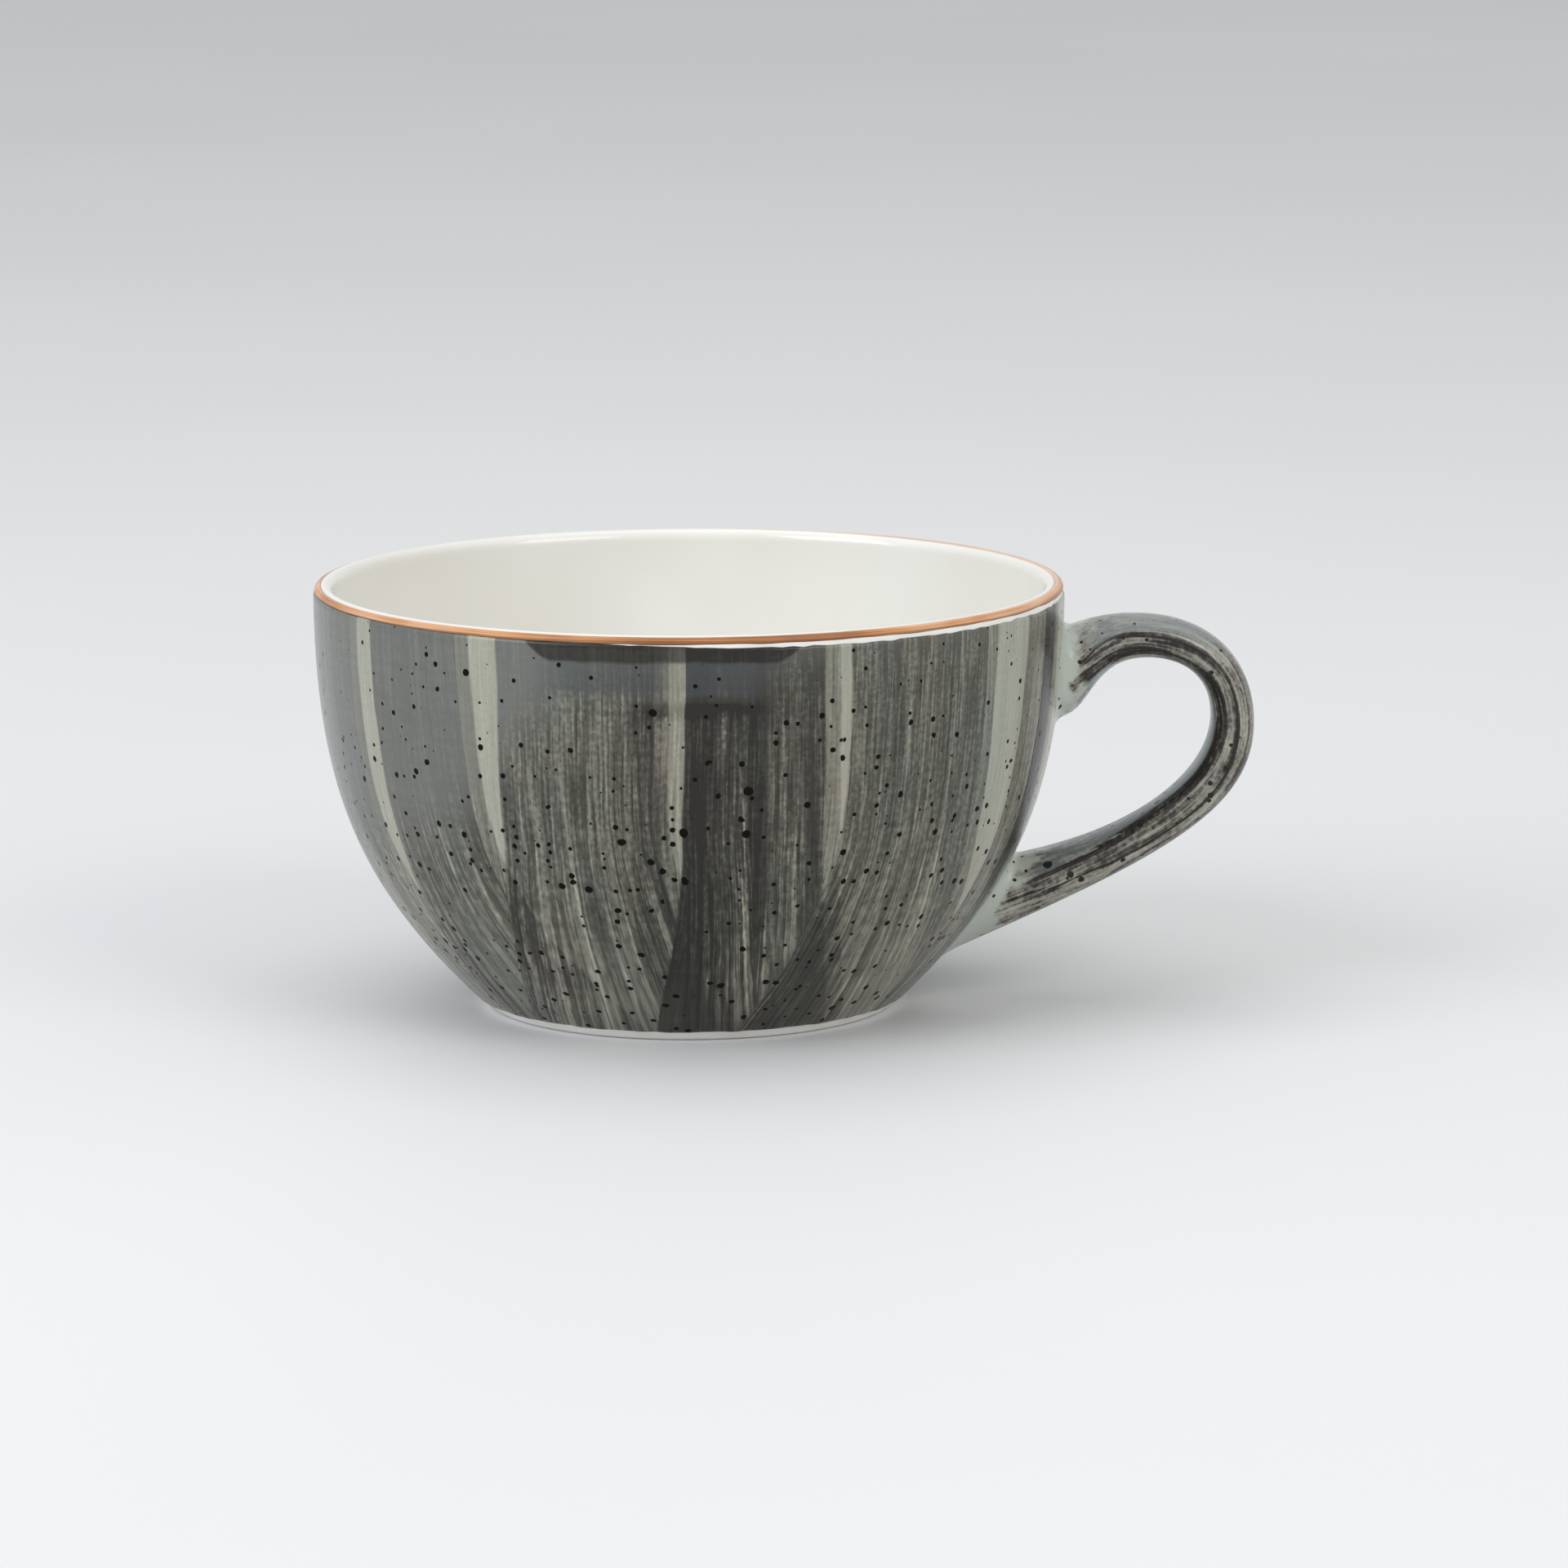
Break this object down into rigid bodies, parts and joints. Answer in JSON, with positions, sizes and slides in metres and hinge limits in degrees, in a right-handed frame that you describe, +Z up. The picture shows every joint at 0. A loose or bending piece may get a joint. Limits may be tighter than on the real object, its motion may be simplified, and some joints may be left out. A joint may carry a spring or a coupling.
{
  "type": "coffee cup",
  "caption": "Wide round porcelain coffee cup on a low foot, with a loop handle, a white glazed inside, a brushed grey glazed outside and a brown band on the lip.",
  "frame": {"origin": "middle of the object's box seen from above, on the table plane that the foot ring stands on", "axes": "+Z up along the bowl's axis, +X towards the handle"},
  "size_m": [0.1254, 0.1, 0.057],
  "materials": {
    "porcelain": "fired white porcelain, bare on the foot ring",
    "white_glaze": "glossy warm white glaze",
    "grey_glaze": "glossy grey glaze, brushed on in upright strokes with dark specks",
    "brown_glaze": "semi-gloss brown band, painted on the lip",
    "pale_slip": "pale slip joint under a thin glaze"
  },
  "bodies": {
    "root": {"bowl": "porcelain", "liner_glaze": "white_glaze", "outer_glaze": "grey_glaze", "rim_band": "brown_glaze", "base_glaze": "white_glaze", "handle": "porcelain", "handle_glaze": "grey_glaze", "upper_slip_joint": "pale_slip", "lower_slip_joint": "pale_slip"}
  },
  "joints": []
}
